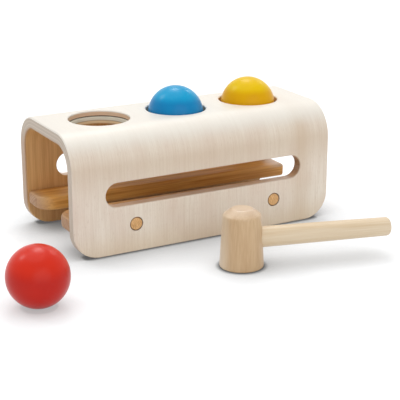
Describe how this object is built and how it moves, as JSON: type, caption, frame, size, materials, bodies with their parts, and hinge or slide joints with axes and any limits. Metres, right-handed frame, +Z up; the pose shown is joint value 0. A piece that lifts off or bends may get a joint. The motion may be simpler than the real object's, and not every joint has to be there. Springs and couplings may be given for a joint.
{
  "type": "ball pounding bench",
  "caption": "Bent-wood pounding bench with slotted walls, rubber-gripped holes, hammer-through balls, sloping roll-out rails and a turned mallet.",
  "frame": {"origin": "on the floor, under the middle of the whole set's box: the bench with its loose ball and mallet as they lie in the picture", "axes": "+X along the bench, to the right as seen from the front; +Y from the front wall to the back wall; +Z up"},
  "size_m": [0.3412, 0.2312, 0.1261],
  "materials": {
    "bent_wood": "bleached bent plywood with a satin lacquer",
    "board_wood": "golden hardwood, satin lacquer",
    "grip_rubber": "matte grey rubber",
    "plug_wood": "turned wood plug, satin",
    "screw_steel": "zinc-plated, hidden",
    "paint_blue": "wood under satin blue paint",
    "paint_yellow": "wood under satin yellow paint",
    "paint_red": "wood under satin red paint",
    "mallet_wood": "turned hardwood, satin lacquer"
  },
  "bodies": {
    "bench": {"bench_shell": "bent_wood", "rail_front": "board_wood", "rail_back": "board_wood", "grip_ring_left": "grip_rubber", "grip_ring_middle": "grip_rubber", "grip_ring_right": "grip_rubber", "plug_front_left": "plug_wood", "plug_front_right": "plug_wood", "plug_back_left": "plug_wood", "plug_back_right": "plug_wood", "screw_front_left": "screw_steel", "screw_front_right": "screw_steel", "screw_back_left": "screw_steel", "screw_back_right": "screw_steel"},
    "blue_ball": {"ball_blue": "paint_blue"},
    "yellow_ball": {"ball_yellow": "paint_yellow"},
    "red_ball": {"ball_red": "paint_red"},
    "mallet": {"mallet_head": "mallet_wood", "mallet_handle": "mallet_wood"}
  },
  "joints": [
    {"name": "blue_ball_drop", "type": "slide", "parent": "bench", "child": "blue_ball", "axis": [0, 0, -1], "range_m": [-0.04, 0.0512], "deforming": ["grip_ring_middle"]},
    {"name": "yellow_ball_drop", "type": "slide", "parent": "bench", "child": "yellow_ball", "axis": [0, 0, -1], "range_m": [-0.04, 0.052], "deforming": ["grip_ring_right"]},
    {"name": "red_ball_roll", "type": "slide", "parent": "bench", "child": "red_ball", "axis": [1, 0, 0], "range_m": [-0.05, 0.06]},
    {"name": "mallet_lift", "type": "slide", "parent": "bench", "child": "mallet", "axis": [0, 0, 1], "range_m": [0, 0.12]}
  ]
}
